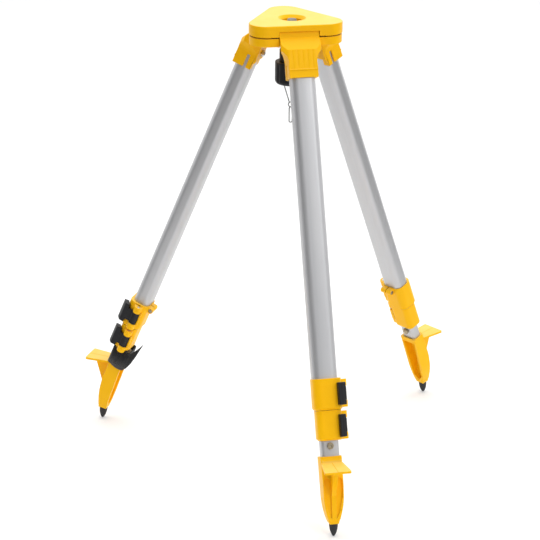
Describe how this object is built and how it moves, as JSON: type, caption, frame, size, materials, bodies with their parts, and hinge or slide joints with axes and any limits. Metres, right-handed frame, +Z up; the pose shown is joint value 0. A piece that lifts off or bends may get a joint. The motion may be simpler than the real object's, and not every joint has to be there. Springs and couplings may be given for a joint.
{
  "type": "laser level tripod",
  "caption": "Folding tripod for a laser level: triangular head with a screw-on seat, telescoping aluminium legs with flip-lever locks, step-on feet and a plumb hook.",
  "frame": {"origin": "centre of the flat seat on top of the head, on the axis of the fixing screw", "axes": "+Z up along the fixing screw, the front leg points to -Y, the right leg is at +X and the left at -X"},
  "size_m": [0.6548, 0.5678, 0.7588],
  "materials": {
    "yellow_moulding": "satin, slightly glossy",
    "black_moulding": "fine matte grain",
    "tube_aluminium": "satin anodised, drawn along the tube",
    "steel": "bright zinc plated",
    "dark_steel": "dark oxide",
    "bush_plastic": "natural nylon",
    "point_rubber": "matte",
    "webbing": "woven black webbing"
  },
  "bodies": {
    "head": {"head_body": "yellow_moulding", "head_cap": "yellow_moulding", "cap_screws": "steel", "hinge_pins": "steel"},
    "screw_lift": {"thrust_washer": "steel"},
    "fixing_screw": {"fixing_screw": "steel", "fixing_knob": "black_moulding"},
    "plumb_hook": {"plumb_hook": "steel"},
    "front_upper": {"front_upper_tube": "tube_aluminium", "front_leg_bracket": "yellow_moulding", "front_upper_collar": "yellow_moulding", "front_upper_fixings": "dark_steel"},
    "front_middle": {"front_middle_tube": "tube_aluminium", "front_middle_bush": "bush_plastic", "front_lower_collar": "yellow_moulding", "front_lower_lever_pin": "dark_steel"},
    "front_lower": {"front_lower_tube": "tube_aluminium", "front_lower_bush": "bush_plastic", "front_foot": "yellow_moulding", "front_foot_tip": "point_rubber", "front_foot_bolt": "dark_steel"},
    "front_upper_lever": {"front_upper_lever": "black_moulding"},
    "front_upper_shoe": {"front_upper_shoe": "bush_plastic"},
    "front_lower_lever": {"front_lower_lever": "black_moulding"},
    "front_lower_shoe": {"front_lower_shoe": "bush_plastic"},
    "right_upper": {"right_upper_tube": "tube_aluminium", "right_leg_bracket": "yellow_moulding", "right_upper_collar": "yellow_moulding", "right_upper_fixings": "dark_steel"},
    "right_middle": {"right_middle_tube": "tube_aluminium", "right_middle_bush": "bush_plastic", "right_lower_collar": "yellow_moulding", "right_lower_lever_pin": "dark_steel"},
    "right_lower": {"right_lower_tube": "tube_aluminium", "right_lower_bush": "bush_plastic", "right_foot": "yellow_moulding", "right_foot_tip": "point_rubber", "right_foot_bolt": "dark_steel"},
    "right_upper_lever": {"right_upper_lever": "black_moulding"},
    "right_upper_shoe": {"right_upper_shoe": "bush_plastic"},
    "right_lower_lever": {"right_lower_lever": "black_moulding"},
    "right_lower_shoe": {"right_lower_shoe": "bush_plastic"},
    "left_upper": {"left_upper_tube": "tube_aluminium", "left_leg_bracket": "yellow_moulding", "left_upper_collar": "yellow_moulding", "left_upper_fixings": "dark_steel"},
    "left_middle": {"left_middle_tube": "tube_aluminium", "left_middle_bush": "bush_plastic", "left_lower_collar": "yellow_moulding", "left_lower_lever_pin": "dark_steel"},
    "left_lower": {"left_lower_tube": "tube_aluminium", "left_lower_bush": "bush_plastic", "left_foot": "yellow_moulding", "left_foot_tip": "point_rubber", "left_foot_bolt": "dark_steel", "leg_strap": "webbing"},
    "left_upper_lever": {"left_upper_lever": "black_moulding"},
    "left_upper_shoe": {"left_upper_shoe": "bush_plastic"},
    "left_lower_lever": {"left_lower_lever": "black_moulding"},
    "left_lower_shoe": {"left_lower_shoe": "bush_plastic"}
  },
  "joints": [
    {"name": "screw_lift", "type": "slide", "parent": "head", "child": "screw_lift", "axis": [0, 0, 1], "range_m": [0, 0.012]},
    {"name": "screw_turn", "type": "hinge", "parent": "screw_lift", "child": "fixing_screw", "pos_m": [0, 0, -0.06], "axis": [0, 0, 1], "continuous": true},
    {"name": "hook_swing", "type": "hinge", "parent": "fixing_screw", "child": "plumb_hook", "pos_m": [0, 0, -0.1041], "axis": [1, 0, 0], "range_deg": [-25, 25]},
    {"name": "front_fold", "type": "hinge", "parent": "head", "child": "front_upper", "pos_m": [0, -0.047, -0.0248], "axis": [1, 0, 0], "range_deg": [0, 22.5]},
    {"name": "front_middle_slide", "type": "slide", "parent": "front_upper", "child": "front_middle", "axis": [0, -0.3859, -0.9225], "range_m": [0, 0.41]},
    {"name": "front_lower_slide", "type": "slide", "parent": "front_middle", "child": "front_lower", "axis": [0, -0.3859, -0.9225], "range_m": [0, 0.41]},
    {"name": "front_upper_lever_flip", "type": "hinge", "parent": "front_upper", "child": "front_upper_lever", "pos_m": [0.0296, -0.2695, -0.54634], "axis": [0, 0.3859, 0.9225], "range_deg": [0, 100]},
    {"name": "front_upper_shoe_press", "type": "slide", "parent": "front_upper", "child": "front_upper_shoe", "axis": [1, 0, 0], "range_m": [0, 0.00051]},
    {"name": "front_lower_lever_flip", "type": "hinge", "parent": "front_middle", "child": "front_lower_lever", "pos_m": [0.02685, -0.28891, -0.59274], "axis": [0, 0.3859, 0.9225], "range_deg": [0, 100]},
    {"name": "front_lower_shoe_press", "type": "slide", "parent": "front_middle", "child": "front_lower_shoe", "axis": [1, 0, 0], "range_m": [0, 0.00051]},
    {"name": "right_fold", "type": "hinge", "parent": "head", "child": "right_upper", "pos_m": [0.0407, 0.0235, -0.0248], "axis": [-0.5, 0.866, 0], "range_deg": [0, 22.5]},
    {"name": "right_middle_slide", "type": "slide", "parent": "right_upper", "child": "right_middle", "axis": [0.3342, 0.193, -0.9225], "range_m": [0, 0.41]},
    {"name": "right_lower_slide", "type": "slide", "parent": "right_middle", "child": "right_lower", "axis": [0.3342, 0.193, -0.9225], "range_m": [0, 0.41]},
    {"name": "right_upper_lever_flip", "type": "hinge", "parent": "right_upper", "child": "right_upper_lever", "pos_m": [0.21859, 0.16038, -0.54634], "axis": [-0.3342, -0.193, 0.9225], "range_deg": [0, 100]},
    {"name": "right_upper_shoe_press", "type": "slide", "parent": "right_upper", "child": "right_upper_shoe", "axis": [-0.5, 0.866, 0], "range_m": [0, 0.00051]},
    {"name": "right_lower_lever_flip", "type": "hinge", "parent": "right_middle", "child": "right_lower_lever", "pos_m": [0.23678, 0.16771, -0.59274], "axis": [-0.3342, -0.193, 0.9225], "range_deg": [0, 100]},
    {"name": "right_lower_shoe_press", "type": "slide", "parent": "right_middle", "child": "right_lower_shoe", "axis": [-0.5, 0.866, 0], "range_m": [0, 0.00051]},
    {"name": "left_fold", "type": "hinge", "parent": "head", "child": "left_upper", "pos_m": [-0.0407, 0.0235, -0.0248], "axis": [-0.5, -0.866, 0], "range_deg": [0, 22.5]},
    {"name": "left_middle_slide", "type": "slide", "parent": "left_upper", "child": "left_middle", "axis": [-0.3342, 0.193, -0.9225], "range_m": [0, 0.41]},
    {"name": "left_lower_slide", "type": "slide", "parent": "left_middle", "child": "left_lower", "axis": [-0.3342, 0.193, -0.9225], "range_m": [0, 0.41]},
    {"name": "left_upper_lever_flip", "type": "hinge", "parent": "left_upper", "child": "left_upper_lever", "pos_m": [-0.24819, 0.10912, -0.54634], "axis": [0.3342, -0.193, 0.9225], "range_deg": [0, 100]},
    {"name": "left_upper_shoe_press", "type": "slide", "parent": "left_upper", "child": "left_upper_shoe", "axis": [-0.5, -0.866, 0], "range_m": [0, 0.00051]},
    {"name": "left_lower_lever_flip", "type": "hinge", "parent": "left_middle", "child": "left_lower_lever", "pos_m": [-0.26363, 0.1212, -0.59274], "axis": [0.3342, -0.193, 0.9225], "range_deg": [0, 100]},
    {"name": "left_lower_shoe_press", "type": "slide", "parent": "left_middle", "child": "left_lower_shoe", "axis": [-0.5, -0.866, 0], "range_m": [0, 0.00051]}
  ],
  "couplings": [
    {"joint": "front_upper_shoe_press", "follows": "front_upper_lever_flip", "m_per_rad": 0.00028648},
    {"joint": "front_lower_shoe_press", "follows": "front_lower_lever_flip", "m_per_rad": 0.00028648},
    {"joint": "right_upper_shoe_press", "follows": "right_upper_lever_flip", "m_per_rad": 0.00028648},
    {"joint": "right_lower_shoe_press", "follows": "right_lower_lever_flip", "m_per_rad": 0.00028648},
    {"joint": "left_upper_shoe_press", "follows": "left_upper_lever_flip", "m_per_rad": 0.00028648},
    {"joint": "left_lower_shoe_press", "follows": "left_lower_lever_flip", "m_per_rad": 0.00028648}
  ]
}
